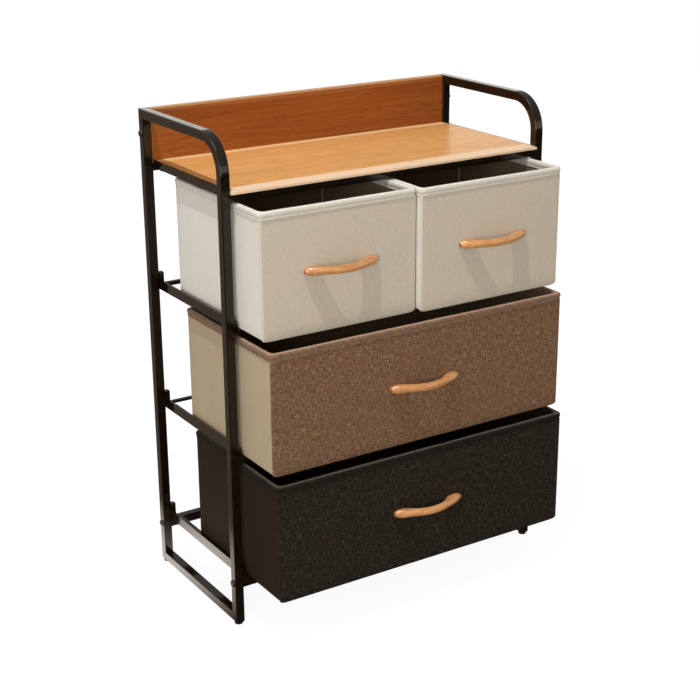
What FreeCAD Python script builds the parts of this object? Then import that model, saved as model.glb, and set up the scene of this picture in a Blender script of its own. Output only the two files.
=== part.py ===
import FreeCAD, Part
import os
import re
import Sketcher

# Drawer unit: a steel tube frame with a shelf, a backboard and four fabric drawers.
# Frame pieces are drawn from the middle of the frame, z from under its tubes, y back.
# Drawer pieces are drawn from the middle of a drawer's front face, z from its underside.
# The unit is shown with its drawers pulled out by different amounts.

V = FreeCAD.Vector
LEFT, RIGHT = -1, 1
document = FreeCAD.newDocument("drawer_unit")

SIZES = {
    # Side frames of square tube
    "frame_width": 600,
    "frame_depth": 275,
    "frame_height": 792,
    "tube": 15,
    "tube_wall": 1.2,
    "tube_corner": 1.5,
    "bend_radius": 59,
    "end_plate": 3,
    # Levelling feet and their threaded bosses
    "foot_height": 4.5,
    "foot_diameter": 14,
    "foot_edge": 0.8,
    "stem_diameter": 6,
    "stem_length": 14,
    "thread_gap": 0.3,
    "boss_diameter": 10,
    "boss_height": 8,
    # Tiers that carry the drawers
    "first_tier": 78,
    "tier_space": 14.5,
    "seat_gap": 0.3,
    "guide_thickness": 3,
    "guide_height": 16,
    "flange_thickness": 1.5,
    "flange_bearing": 10.5,
    "runner_bearing": 18,
    "tier_bar_height": 7,
    "rear_bar_depth": 7.5,
    "rear_bar_rise_top": 5,
    "rear_bar_rise_middle": 3,
    "bar_corner": 1,
    "bracket_depth": 9,
    "bracket_rise": 27,
    "bracket_gap": 1.5,
    # Shelf, its rails and the backboard
    "shelf_drop": 82,
    "shelf_thickness": 5,
    "shelf_nose": 4,
    "shelf_bevel_drop": 1.5,
    "shelf_front_bevel": 27,
    "shelf_back_bevel": 34,
    "shelf_rail_height": 13,
    "shelf_rail_recess": 1.5,
    "shelf_side_height": 12.5,
    "shelf_flange": 18,
    "backboard_thickness": 12,
    "backboard_inset": 0.5,
    "backboard_bevel": 8,
    "backboard_bevel_drop": 1.5,
    # Frame bolts and the small bolts of the shelf rails
    "bolt_diameter": 6,
    "bolt_length": 35,
    "bolt_head_diameter": 11,
    "bolt_head_height": 2.8,
    "backboard_bolt_drop": 39,
    "bore_depth": 22,
    "rail_bolt_diameter": 4,
    "rail_bolt_head_diameter": 6.5,
    "rail_bolt_head_height": 1.8,
    "rail_bolt_inset": 30,
    "rail_nut_diameter": 5,
    # Drawers
    "side_gap": 9.5,
    "centre_gap": 4,
    "stop_gap": 0.5,
    "rim_gap": 1.5,
    "front_drop": 3.5,
    "front_drop_depth": 3,
    "skin": 1,
    "lining": 1,
    "wall_board": 3,
    "front_board": 4,
    "bottom_board": 3,
    "board_gap": 0.5,
    "rim_height": 12,
    "rim_proud": 1.2,
    "rim_cap": 1,
    "rim_inside": 0.8,
    # How far each drawer is pulled out
    "pull_top_left": 63.4,
    "pull_top_right": 72.3,
    "pull_middle": 85.7,
    "pull_bottom": 98.2,
    # Wooden handles and their screws
    "handle_length": 130,
    "handle_reach": 27,
    "handle_height": 12,
    "handle_end": 5,
    "handle_foot": 22,
    "handle_grip": 11,
    "handle_round": 3,
    "screw_diameter": 4,
    "screw_gap": 0.3,
    "screw_in_handle": 9,
    "screw_head_diameter": 9,
    "screw_head_height": 2.5,
}

PLACES = {
    "post_inner": "frame_width / 2 - tube",
    "front": "-frame_depth / 2",
    "back": "frame_depth / 2",
    "mid_y": "(shelf_nose + pull_bottom + handle_reach) / 2",
    "shelf_height": "frame_height - shelf_drop",
    "board_under": "shelf_height - shelf_thickness",
    "drawer_space": "board_under - shelf_rail_height - rim_gap - first_tier",
    "drawer_height": "(drawer_space - 2 * tier_space) / 3",
    "tier_pitch": "drawer_height + tier_space",
    "tier_bottom": "first_tier",
    "tier_middle": "first_tier + tier_pitch",
    "tier_top": "first_tier + 2 * tier_pitch",
    "under_guide": "seat_gap + flange_thickness",
    "guide_inner": "frame_width / 2 - tube - guide_thickness",
    "flange_inner": "frame_width / 2 - tube - side_gap - flange_bearing",
    "bracket_width": "side_gap - bracket_gap",
    "rear_bar_front": "frame_depth / 2 - rear_bar_depth",
    "guide_back": "frame_depth / 2 - rear_bar_depth - bracket_depth",
    "runner_width": "centre_gap + 2 * runner_bearing",
    "shelf_rail_front": "shelf_rail_recess - frame_depth / 2",
    "shelf_side_front": "shelf_rail_recess + tube - frame_depth / 2",
    "shelf_side_back": "frame_depth / 2 - tube",
    "backboard_front": "frame_depth / 2 - backboard_inset - backboard_thickness",
    "backboard_half": "frame_width / 2 - tube - seat_gap",
    "low_bolt_height": "first_tier - seat_gap - flange_thickness - tube / 2",
    "backboard_bolt_height": "frame_height - backboard_bolt_drop",
    "bolt_bore": "bolt_diameter + 2 * thread_gap",
    "rail_bolt_height": "board_under - flange_thickness - thread_gap - rail_nut_diameter / 2",
    "wall": "skin + wall_board + lining",
    "front_wall": "skin + front_board + lining",
    "wall_top": "drawer_height - rim_cap",
    "drawer_depth": "frame_depth + shelf_nose - rear_bar_depth - stop_gap",
    "wide_drawer": "frame_width - 2 * tube - 2 * side_gap",
    "narrow_drawer": "frame_width / 2 - tube - side_gap - centre_gap / 2",
    "narrow_middle": "(frame_width / 2 - tube - side_gap + centre_gap / 2) / 2",
    "handle_middle": "(drawer_height - front_drop) / 2",
    "handle_screw_pitch": "handle_length - handle_foot",
    "screw_bore": "screw_diameter + 2 * screw_gap",
}


# Sheets of sizes

def prefixed(expression):
    """The expression with each name pointing at the sheet that holds it."""
    def point(match):
        word = match.group(0)
        if word in SIZES:
            return "Sizes." + word
        if word in PLACES:
            return "Places." + word
        raise ValueError("no size is named " + word)
    return re.sub(r"[a-z][a-z_]*", point, str(expression))


def fill_sheet(name, rows, as_text):
    sheet = document.addObject("Spreadsheet::Sheet", name)
    for row, (alias, content) in enumerate(rows.items(), start=1):
        sheet.set(f"A{row}", alias)
        sheet.set(f"B{row}", as_text(content))
        sheet.setAlias(f"B{row}", alias)
    document.recompute()
    return sheet


sizes = fill_sheet("Sizes", SIZES, str)
places = fill_sheet("Places", PLACES, lambda content: "=" + prefixed(content))


def value(expression):
    return float(sizes.evalExpression(prefixed(expression)))


def bind(thing, **properties):
    for name, expression in properties.items():
        thing.setExpression(name.replace("__", "."), prefixed(expression))


# Sketches whose every point is bound to the sheets

def pin(sketch, kind, geometry, point, expression):
    """Fix one coordinate of a point of a sketch, measured from the sketch's origin."""
    constraint = Sketcher.Constraint(kind, -1, 1, geometry, point, value(expression))
    index = sketch.addConstraint(constraint)
    sketch.setExpression(f"Constraints[{index}]", prefixed(expression))


def is_round(corner):
    return len(corner) > 2


def rounding_points(before, corner, after):
    """Where a rounded corner starts, ends and has its centre, both its sides being square."""
    here = V(value(corner[0]), value(corner[1]), 0)
    towards = [V(value(c[0]), value(c[1]), 0) - here for c in (before, after)]
    towards = [direction.normalize() for direction in towards]
    radius = value(corner[2])
    start, end = [here + direction * radius for direction in towards]
    return start, end, start + towards[1] * radius


def add_loop(sketch, corners):
    """A closed outline. A corner is (x, y) or, where square sides meet in an arc, (x, y, r)."""
    count = len(corners)
    starts, ends, arcs = [], [], {}
    for i, corner in enumerate(corners):
        if is_round(corner):
            near, far, centre = rounding_points(corners[i - 1], corner, corners[(i + 1) % count])
            arcs[i] = (near, far, centre)
            ends.append(near)
            starts.append(far)
        else:
            ends.append(V(value(corner[0]), value(corner[1]), 0))
            starts.append(ends[-1])
    lines, rounds = [], {}
    for i in range(count):
        lines.append(sketch.addGeometry(Part.LineSegment(starts[i], ends[(i + 1) % count])))
    for i, (near, far, centre) in arcs.items():
        crown = centre + ((near + far) * 0.5 - centre).normalize() * (near - centre).Length
        leftwards = (near - centre).cross(far - centre).z > 0
        ends_in_turn = (near, far) if leftwards else (far, near)
        index = sketch.addGeometry(Part.Arc(ends_in_turn[0], crown, ends_in_turn[1]))
        rounds[i] = (index, 1, 2) if leftwards else (index, 2, 1)
    fixed = {i: set() for i in range(count)}
    for i, line in enumerate(lines):
        here, there = corners[i], corners[(i + 1) % count]
        for axis, (kind, straight) in enumerate((("DistanceX", "Vertical"), ("DistanceY", "Horizontal"))):
            if here[axis] == there[axis]:
                sketch.addConstraint(Sketcher.Constraint(straight, line))
                pin(sketch, kind, line, 1, here[axis])
                fixed[i].add(axis)
                fixed[(i + 1) % count].add(axis)
    for i, corner in enumerate(corners):
        incoming, outgoing = lines[i - 1], lines[i]
        if is_round(corner):
            arc, first, last = rounds[i]
            sketch.addConstraint(Sketcher.Constraint("Tangent", incoming, 2, arc, first))
            sketch.addConstraint(Sketcher.Constraint("Tangent", arc, last, outgoing, 1))
            index = sketch.addConstraint(Sketcher.Constraint("Radius", arc, value(corner[2])))
            sketch.setExpression(f"Constraints[{index}]", prefixed(corner[2]))
        else:
            sketch.addConstraint(Sketcher.Constraint("Coincident", incoming, 2, outgoing, 1))
            for axis, kind in enumerate(("DistanceX", "DistanceY")):
                if axis not in fixed[i]:
                    pin(sketch, kind, outgoing, 1, corner[axis])


def add_circle(sketch, centre, diameter):
    middle = V(value(centre[0]), value(centre[1]), 0)
    circle = sketch.addGeometry(Part.Circle(middle, V(0, 0, 1), value(diameter) / 2))
    pin(sketch, "DistanceX", circle, 3, centre[0])
    pin(sketch, "DistanceY", circle, 3, centre[1])
    index = sketch.addConstraint(Sketcher.Constraint("Diameter", circle, value(diameter)))
    sketch.setExpression(f"Constraints[{index}]", prefixed(diameter))


def new_sketch(body, plane, offset):
    sketch = body.newObject("Sketcher::SketchObject", body.Label + "_sketch")
    support = [f for f in body.Origin.OriginFeatures if f.Role == plane + "_Plane"][0]
    sketch.AttachmentSupport = [(support, "")]
    sketch.MapMode = "FlatFace"
    bind(sketch, AttachmentOffset__Base__z=offset)
    return sketch


# Bodies and their features

def new_body(label):
    body = document.addObject("PartDesign::Body", label)
    body.Label = label
    return body


def extrude(body, kind, plane, outlines, low, high, circle):
    """Add or cut what lies between two levels. The XZ plane faces forwards, so it turns round."""
    near, far = (low, high) if kind == "Pad" else (high, low)
    offset = f"-({far})" if plane == "XZ" else near
    before = 0 if body.Shape.isNull() else body.Shape.Volume
    sketch = new_sketch(body, plane, offset)
    for outline in outlines:
        if circle:
            add_circle(sketch, *outline)
        else:
            add_loop(sketch, outline)
    feature = body.newObject("PartDesign::" + kind, f"{body.Label}_{kind.lower()}")
    feature.Profile = sketch
    bind(feature, Length=f"({high}) - ({low})")
    document.recompute()
    change = body.Shape.Volume - before
    if (change > 0) != (kind == "Pad"):
        raise RuntimeError(f"{feature.Label} changes nothing")
    return feature


def pad(body, plane, outline, low, high):
    return extrude(body, "Pad", plane, [outline], low, high, False)


def pocket(body, plane, outlines, low, high):
    return extrude(body, "Pocket", plane, outlines, low, high, False)


def bore(body, plane, centre, diameter, low, high):
    return extrude(body, "Pocket", plane, [(centre, diameter)], low, high, True)


def dress_edges(body, kind, size, wanted):
    """Give a fillet or a chamfer to the edges of a body for which wanted(edge) is true."""
    feature = body.Tip
    names = [f"Edge{i}" for i, edge in enumerate(feature.Shape.Edges, start=1) if wanted(edge)]
    dressing = body.newObject("PartDesign::" + kind, f"{body.Label}_{kind.lower()}")
    dressing.Base = (feature, names)
    bind(dressing, **{"Radius" if kind == "Fillet" else "Size": size})
    document.recompute()


def rectangle(x_low, x_high, y_low, y_high):
    return [(x_low, y_low), (x_high, y_low), (x_high, y_high), (x_low, y_high)]


def rounded(outline, radius):
    return [corner + (radius,) for corner in outline]


def block(label, x, y, z):
    """A plain box between three pairs of levels."""
    body = new_body(label)
    pad(body, "XY", rectangle(*x, *y), *z)
    return body


def across(side, inner, outer):
    """The pair of x levels of a piece on one side of the middle, the lower one first."""
    return (inner, outer) if side == RIGHT else (f"-({outer})", f"-({inner})")


def both_ways(reach):
    return (f"-({reach})", reach)


# What is handed over: each name with the shape that carries it

nodes = {}


def in_frame(piece):
    bind(piece, Placement__Base__y="mid_y", Placement__Base__z="foot_height")
    return piece


def frame_node(piece):
    nodes[piece.Label] = in_frame(piece)


def group(label, pieces):
    """Pieces of one kind that share a node."""
    compound = document.addObject("Part::Compound", label)
    compound.Label = label
    compound.Links = pieces
    nodes[label] = compound


# Side frames: a bent front post with its top rail, a back post and a bottom rail, mitred

def side_tube(label, side, outer, inner):
    body = new_body(label)
    x = across(side, "post_inner", "frame_width / 2")
    pad(body, "YZ", outer, *x)
    half = value("tube") / 2
    middle = side * (value("post_inner") + half)

    def runs_along(edge):
        on_face = all(abs(abs(v.X - middle) - half) < half / 10 for v in edge.Vertexes)
        return on_face and edge.Length > 2 * value("tube")

    dress_edges(body, "Fillet", "tube_corner", runs_along)
    hollow = across(side, "post_inner + tube_wall", "frame_width / 2 - tube_wall")
    pocket(body, "YZ", [inner], *hollow)
    return body


def mitre(y, height, inset):
    """A corner of the side frame, moved in from its outer corner along the mitre."""
    inwards_y = f"{y} + {inset}" if y == "front" else f"{y} - ({inset})"
    inwards_z = f"{inset}" if height == "0" else f"{height} - ({inset})"
    return inwards_y, inwards_z


def side_outlines(corners):
    """The outer and the inner outline of a run of tube. A corner is (y, z) or (y, z, radius)."""
    outlines = []
    for near, far in (("0", "tube"), ("tube_wall", "tube - tube_wall")):
        outline = []
        for inset, order in ((near, corners), (far, corners[::-1])):
            for y, height, *radius in order:
                bend = (f"{radius[0]} - ({inset})",) if radius else ()
                outline.append(mitre(y, height, f"({inset})") + bend)
        outlines.append(outline)
    return outlines


def bolt_bore(body, side, y, height):
    bore(body, "YZ", (y, height), "bolt_bore", *across(side, "post_inner", "frame_width / 2"))


def make_side(side, name):
    front_run = [("front", "0"), ("front", "frame_height", "bend_radius"), ("back", "frame_height")]
    front_post = side_tube(f"{name}_front_post_and_top_rail", side, *side_outlines(front_run))
    bolt_bore(front_post, side, "front + tube / 2", "low_bolt_height")
    frame_node(front_post)

    back_run = [("back", "0"), ("back", "frame_height")]
    back_post = side_tube(f"{name}_back_post", side, *side_outlines(back_run))
    bolt_bore(back_post, side, "back - tube / 2", "low_bolt_height")
    bolt_bore(back_post, side, "back - tube / 2", "backboard_bolt_height")
    frame_node(back_post)

    low_run = [("front", "0"), ("back", "0")]
    bottom_rail = side_tube(f"{name}_bottom_rail", side, *side_outlines(low_run))
    tube_middle = "post_inner + tube / 2" if side == RIGHT else "-(post_inner + tube / 2)"
    for y in ("front + tube / 2", "back - tube / 2"):
        centre = (tube_middle, y)
        extrude(bottom_rail, "Pad", "XY", [(centre, "boss_diameter")], "0", "boss_height", True)
        bore(bottom_rail, "XY", centre, "stem_diameter + 2 * thread_gap", "0", "boss_height")
    frame_node(bottom_rail)


# Levelling feet: a round pad with a threaded stem, which screws down out of the bottom rail

def make_foot(label, side, y):
    body = new_body(label)
    centre = ("0", "0")
    extrude(body, "Pad", "XY", [(centre, "foot_diameter")], "-foot_height", "0", True)
    extrude(body, "Pad", "XY", [(centre, "stem_diameter")], "0", "stem_length", True)
    lowest = body.Shape.BoundBox.ZMin + value("foot_edge") / 2
    dress_edges(body, "Chamfer", "foot_edge", lambda edge: edge.BoundBox.ZMax < lowest)
    in_frame(body)
    middle = "post_inner + tube / 2"
    bind(body, Placement__Base__x=middle if side == RIGHT else f"-({middle})",
         Placement__Base__y=f"mid_y + {y}")
    nodes[label] = body


# Tiers: side guides with a flange under the drawers, cross bars and rear brackets

def make_guide(side, name, tier):
    """A flat rail beside the drawers with a narrow flange that they slide on."""
    body = new_body(f"{name}_guide_{tier}")
    y = ("front", "guide_back")
    under = f"tier_{tier} - under_guide"
    pad(body, "XY", rectangle(*across(side, "guide_inner", "post_inner"), *y),
        under, f"{under} + guide_height")
    pad(body, "XY", rectangle(*across(side, "flange_inner", "guide_inner"), *y),
        under, f"{under} + flange_thickness")
    frame_node(body)


def make_bar(label, y, z, corner):
    """A bar from side frame to side frame with its long edges rounded."""
    body = new_body(label)
    pad(body, "YZ", rounded(rectangle(*y, *z), corner), *both_ways("post_inner"))
    return body


def hollow_bar(label, y, z, corner):
    """A cross tube closed at both ends."""
    body = make_bar(label, y, z, corner)
    inner = rectangle(f"{y[0]} + tube_wall", f"{y[1]} - tube_wall",
                      f"{z[0]} + tube_wall", f"{z[1]} - tube_wall")
    pocket(body, "YZ", [inner], *both_ways("post_inner - end_plate"))
    return body


def make_tiers():
    for tier in ("top", "middle"):
        under = f"tier_{tier} - under_guide"
        frame_node(hollow_bar(f"{tier}_tier_front_bar", ("front", "front + tube"),
                              (f"{under} - tier_bar_height", under), "bar_corner"))
        frame_node(make_bar(f"{tier}_tier_rear_bar", ("rear_bar_front", "back"),
                            (under, f"tier_{tier} + rear_bar_rise_{tier}"), "bar_corner"))
    under = "tier_bottom - under_guide"
    for name, y in (("front", ("front", "front + tube")), ("rear", ("back - tube", "back"))):
        tube = hollow_bar(f"bottom_tier_{name}_tube", y, (f"{under} - tube", under), "tube_corner")
        for side in (LEFT, RIGHT):
            bore(tube, "YZ", (f"{y[0]} + tube / 2", "low_bolt_height"), "bolt_bore",
                 *across(side, "post_inner - end_plate", "post_inner"))
        frame_node(tube)
    frame_node(block("top_tier_centre_runner", both_ways("runner_width / 2"),
                     ("front", "rear_bar_front"),
                     ("tier_top - under_guide", "tier_top - seat_gap")))


def make_brackets():
    """Blocks on the back posts that close the guides' rear ends."""
    pieces = []
    for side in (LEFT, RIGHT):
        for tier in ("bottom", "middle", "top"):
            x = across(side, "post_inner - bracket_width", "post_inner")
            z = (f"tier_{tier} - under_guide", f"tier_{tier} + bracket_rise")
            piece = block(f"bracket_{tier}_{side + 1}", x, ("guide_back", "rear_bar_front"), z)
            pieces.append(in_frame(piece))
    group("rear_brackets", pieces)


# Shelf, its rails and the backboard

def make_shelf():
    under = ("board_under - shelf_rail_height", "board_under")
    frame_node(hollow_bar("shelf_front_rail", ("shelf_rail_front", "shelf_side_front"),
                          under, "tube_corner"))
    frame_node(hollow_bar("shelf_rear_rail", ("shelf_side_back", "back"), under, "tube_corner"))
    for side, name in ((LEFT, "left"), (RIGHT, "right")):
        rail = new_body(f"{name}_shelf_rail")
        y = ("shelf_side_front", "shelf_side_back")
        pad(rail, "XY", rectangle(*across(side, "guide_inner", "post_inner"), *y),
            "shelf_height - shelf_side_height", "shelf_height")
        pad(rail, "XY", rectangle(*across(side, "guide_inner - shelf_flange", "guide_inner"), *y),
            "board_under - flange_thickness", "board_under")
        for place in ("shelf_side_front + rail_bolt_inset", "shelf_side_back - rail_bolt_inset"):
            bore(rail, "YZ", (place, "rail_bolt_height"), "rail_bolt_diameter",
                 *across(side, "guide_inner", "post_inner"))
        frame_node(rail)

    board = new_body("shelf_board")
    edge = "shelf_height - shelf_bevel_drop"
    nose = "front - shelf_nose"
    profile = [(nose, "board_under"), (nose, edge),
               (f"{nose} + shelf_front_bevel", "shelf_height"),
               ("backboard_front - shelf_back_bevel", "shelf_height"),
               ("backboard_front", edge), ("backboard_front", "board_under")]
    pad(board, "YZ", profile, *both_ways("post_inner"))
    for side in (LEFT, RIGHT):
        notch = rectangle(*across(side, "guide_inner", "post_inner"),
                          "shelf_side_front", "shelf_side_back")
        pocket(board, "XY", [notch], "board_under", "shelf_height")
    frame_node(board)


def make_backboard():
    board = new_body("backboard")
    rear = "backboard_front + backboard_thickness"
    profile = [("backboard_front", "board_under"),
               ("backboard_front", "frame_height - backboard_bevel"),
               ("backboard_front + backboard_bevel_drop", "frame_height"),
               (rear, "frame_height"), (rear, "board_under")]
    pad(board, "YZ", profile, *both_ways("backboard_half"))
    for side in (LEFT, RIGHT):
        bore(board, "YZ", ("back - tube / 2", "backboard_bolt_height"), "bolt_bore",
             *across(side, "backboard_half - bore_depth", "backboard_half"))
    frame_node(board)


# Bolts with domed heads

def dome(label, radius, height):
    """A shallow dome on the yz plane, its flat side at x 0 and its crown towards +x."""
    ball = document.addObject("Part::Sphere", label + "_ball")
    ball_radius = f"(({radius}) * ({radius}) + ({height}) * ({height})) / (2 * ({height}))"
    bind(ball, Radius=ball_radius, Placement__Base__x=f"({height}) - ({ball_radius})")
    reach = document.addObject("Part::Cylinder", label + "_reach")
    bind(reach, Radius=f"2 * ({radius})", Height=f"2 * ({height})")
    reach.Placement = FreeCAD.Placement(V(), FreeCAD.Rotation(V(0, 1, 0), 90))
    crown = document.addObject("Part::Common", label + "_crown")
    crown.Base = ball
    crown.Tool = reach
    return crown


def make_bolt(label, side, y, height, shank, head, length, nut=None):
    """A bolt through a side frame. Its nut, where it has one, is (start, diameter, thickness)."""
    crown = dome(label, f"{head[0]} / 2", head[1])
    rod = document.addObject("Part::Cylinder", label + "_rod")
    bind(rod, Radius=f"{shank} / 2", Height=length)
    rod.Placement = FreeCAD.Placement(V(), FreeCAD.Rotation(V(0, 1, 0), -90))
    pieces = [crown, rod]
    if nut:
        ring = document.addObject("Part::Cylinder", label + "_nut")
        bind(ring, Radius=f"{nut[1]} / 2", Height=nut[2], Placement__Base__x=f"-({nut[0]})")
        ring.Placement.Rotation = FreeCAD.Rotation(V(0, 1, 0), -90)
        pieces.append(ring)
    bolt = document.addObject("Part::MultiFuse", label)
    bolt.Label = label
    bolt.Shapes = pieces
    seat = "frame_width / 2" if nut is None else "post_inner"
    if side == LEFT:
        bolt.Placement.Rotation = FreeCAD.Rotation(V(0, 0, 1), 180)
        seat = f"-({seat})"
    bind(bolt, Placement__Base__x=seat, Placement__Base__y=f"mid_y + {y}",
         Placement__Base__z=f"foot_height + {height}")
    return bolt


def make_bolts():
    large = ("bolt_diameter", ("bolt_head_diameter", "bolt_head_height"), "bolt_length")
    small = ("rail_bolt_diameter", ("rail_bolt_head_diameter", "rail_bolt_head_height"),
             "guide_thickness + rail_bolt_head_height")
    nut = ("guide_thickness", "rail_nut_diameter", "rail_bolt_head_height")
    frame_bolts, rail_bolts = [], []
    for side in (LEFT, RIGHT):
        spots = (("front + tube / 2", "low_bolt_height"), ("back - tube / 2", "low_bolt_height"),
                 ("back - tube / 2", "backboard_bolt_height"))
        for number, (y, height) in enumerate(spots):
            frame_bolts.append(make_bolt(f"bolt_{side + 1}_{number}", side, y, height, *large))
        for number, y in enumerate(("shelf_side_front + rail_bolt_inset",
                                    "shelf_side_back - rail_bolt_inset")):
            rail_bolts.append(make_bolt(f"rail_bolt_{side + 1}_{number}", side, y,
                                        "rail_bolt_height", *small, nut))
    group("frame_bolts", frame_bolts)
    group("shelf_rail_bolts", rail_bolts)


# Drawers: a fabric cover with boards in its walls, a loose bottom, a bound rim and a handle

def in_drawer(piece, drawer):
    bind(piece, Placement__Base__x=drawer["middle"],
         Placement__Base__y=f"mid_y + front - shelf_nose - pull_{drawer['name']}",
         Placement__Base__z=f"foot_height + {drawer['tier']}")
    return piece


def drawer_node(piece, drawer):
    nodes[piece.Label] = in_drawer(piece, drawer)


def walls_inside(drawer, inset_side, inset_front, inset_back):
    half = f"{drawer['width']} / 2"
    return rectangle(f"-({half} - ({inset_side}))", f"{half} - ({inset_side})",
                     inset_front, f"drawer_depth - ({inset_back})")


def screw_spots():
    for sign in ("-", ""):
        yield f"{sign}handle_screw_pitch / 2", "handle_middle"


def board_spaces(drawer):
    """The pockets of the cover that hold the stiffening boards: (x, y) pairs of levels."""
    half = f"{drawer['width']} / 2"
    sides = {}
    for side, name in ((LEFT, "left"), (RIGHT, "right")):
        x = across(side, f"{half} - skin - wall_board", f"{half} - skin")
        sides[name] = (x, ("front_wall", "drawer_depth - skin"))
    sides["back"] = (both_ways(f"{half} - wall"),
                     ("drawer_depth - skin - wall_board", "drawer_depth - skin"))
    sides["front"] = (both_ways(f"{half} - skin"), ("skin", "skin + front_board"))
    return sides


def make_cover(drawer):
    body = new_body(f"{drawer['name']}_drawer_cover")
    pad(body, "XY", walls_inside(drawer, "0", "0", "0"), "0", "wall_top")
    half = f"{drawer['width']} / 2"
    pad(body, "XY", rectangle(*both_ways(half), "0", "front_drop_depth"), "-front_drop", "0")
    pocket(body, "XY", [walls_inside(drawer, "wall", "front_wall", "wall")], "skin", "wall_top")
    for x, y in board_spaces(drawer).values():
        pocket(body, "XY", [rectangle(*x, *y)], "skin", "wall_top")
    for spot in screw_spots():
        bore(body, "XZ", spot, "screw_bore", "0", "front_wall")
    drawer_node(body, drawer)


def make_boards(drawer):
    name = drawer["name"]
    walls = []
    for side, (x, y) in board_spaces(drawer).items():
        board = block(f"{name}_{side}_board", x, y, ("skin", "wall_top"))
        if side == "front":
            for spot in screw_spots():
                bore(board, "XZ", spot, "screw_bore", *y)
            board.Label = f"{name}_drawer_front_board"
            drawer_node(board, drawer)
        else:
            walls.append(in_drawer(board, drawer))
    group(f"{name}_drawer_wall_boards", walls)
    bottom = new_body(f"{name}_drawer_bottom_board")
    pad(bottom, "XY", walls_inside(drawer, "wall + board_gap", "front_wall + board_gap",
                                   "wall + board_gap"), "skin", "skin + bottom_board")
    drawer_node(bottom, drawer)


def make_rim(drawer):
    """A binding folded over the tops of the walls."""
    body = new_body(f"{drawer['name']}_drawer_rim")
    low = "drawer_height - rim_height"
    proud = "-rim_proud"
    pad(body, "XY", walls_inside(drawer, proud, proud, proud), low, "drawer_height")
    opening = walls_inside(drawer, "wall + rim_inside", "front_wall + rim_inside",
                           "wall + rim_inside")
    pocket(body, "XY", [opening], low, "drawer_height")
    pocket(body, "XY", [walls_inside(drawer, "0", "0", "0"),
                        walls_inside(drawer, "wall", "front_wall", "wall")], low, "wall_top")
    drawer_node(body, drawer)


def add_bow(sketch, half, depth, crown):
    """An arc from (-half, depth) to (half, depth) through (0, crown)."""
    left, right = [V(value(f"{sign}({half})"), value(depth), 0) for sign in ("-", "")]
    arc = sketch.addGeometry(Part.Arc(left, V(0, value(crown), 0), right))
    for point, sign in enumerate(("-", ""), start=1):
        pin(sketch, "DistanceX", arc, point, f"{sign}({half})")
        pin(sketch, "DistanceY", arc, point, depth)
    rise = f"(({depth}) - ({crown}))"
    radius = f"(({half}) * ({half}) + {rise} * {rise}) / (2 * {rise})"
    index = sketch.addConstraint(Sketcher.Constraint("Radius", arc, value(radius)))
    sketch.setExpression(f"Constraints[{index}]", prefixed(radius))


def add_line(sketch, start, end):
    points = [V(value(x), value(y), 0) for x, y in (start, end)]
    line = sketch.addGeometry(Part.LineSegment(*points))
    for point, (x, y) in enumerate((start, end), start=1):
        pin(sketch, "DistanceX", line, point, x)
        pin(sketch, "DistanceY", line, point, y)


def make_handle(drawer):
    """A bowed wooden grip on two broad feet, all its outer edges rounded."""
    body = new_body(f"{drawer['name']}_drawer_handle")
    sketch = new_sketch(body, "XY", "handle_middle - handle_height / 2")
    half = "handle_length / 2"
    inner = "handle_length / 2 - handle_foot"
    add_bow(sketch, half, "-handle_end", "-handle_reach")
    add_bow(sketch, inner, "0", "handle_grip - handle_reach")
    for sign in ("-", ""):
        add_line(sketch, (f"{sign}({inner})", "0"), (f"{sign}({half})", "0"))
        add_line(sketch, (f"{sign}({half})", "0"), (f"{sign}({half})", "-handle_end"))
    grip = body.newObject("PartDesign::Pad", body.Label + "_pad")
    grip.Profile = sketch
    bind(grip, Length="handle_height")
    document.recompute()

    def off_the_front(edge):
        return edge.BoundBox.YMin < -value("handle_end") / 2

    dress_edges(body, "Fillet", "handle_round", off_the_front)
    for spot in screw_spots():
        bore(body, "XZ", spot, "screw_bore", "-(screw_in_handle + thread_gap)", "0")
    drawer_node(body, drawer)


def make_screws(drawer):
    """Pan headed screws from inside the drawer into the handle's feet."""
    pieces = []
    for number, (x, z) in enumerate(screw_spots()):
        screw = new_body(f"{drawer['name']}_screw_{number}")
        extrude(screw, "Pad", "XZ", [((x, z), "screw_diameter")], "-screw_in_handle",
                "front_wall", True)
        extrude(screw, "Pad", "XZ", [((x, z), "screw_head_diameter")], "front_wall",
                "front_wall + screw_head_height", True)
        pieces.append(in_drawer(screw, drawer))
    group(f"{drawer['name']}_drawer_handle_screws", pieces)


DRAWERS = (
    {"name": "top_left", "width": "narrow_drawer", "middle": "-narrow_middle", "tier": "tier_top"},
    {"name": "top_right", "width": "narrow_drawer", "middle": "narrow_middle", "tier": "tier_top"},
    {"name": "middle", "width": "wide_drawer", "middle": "0", "tier": "tier_middle"},
    {"name": "bottom", "width": "wide_drawer", "middle": "0", "tier": "tier_bottom"},
)


def make_all():
    for side, name in ((LEFT, "left"), (RIGHT, "right")):
        make_side(side, name)
        make_foot(f"{name}_front_foot", side, "front + tube / 2")
        make_foot(f"{name}_back_foot", side, "back - tube / 2")
        for tier in ("bottom", "middle", "top"):
            make_guide(side, name, tier)
    make_tiers()
    make_brackets()
    make_shelf()
    make_backboard()
    make_bolts()
    for drawer in DRAWERS:
        make_cover(drawer)
        make_boards(drawer)
        make_rim(drawer)
        make_handle(drawer)
        make_screws(drawer)
    document.recompute()


def check_all():
    for thing in document.Objects:
        if {"Invalid", "Error"} & set(thing.State):
            raise RuntimeError(f"{thing.Label} failed: {thing.State}")
    for label, piece in nodes.items():
        if piece.Shape.isNull() or not piece.Shape.isValid():
            raise RuntimeError(f"{label} has no sound shape")


def write_all():
    os.makedirs("parts", exist_ok=True)
    for label, piece in nodes.items():
        piece.Shape.exportStep(f"parts/{label}.step")
        solids = len(piece.Shape.Solids)
        print(f"{label}: {solids} solid(s), {piece.Shape.Volume / 1000:.1f} cubic cm")


make_all()
check_all()
write_all()
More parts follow.
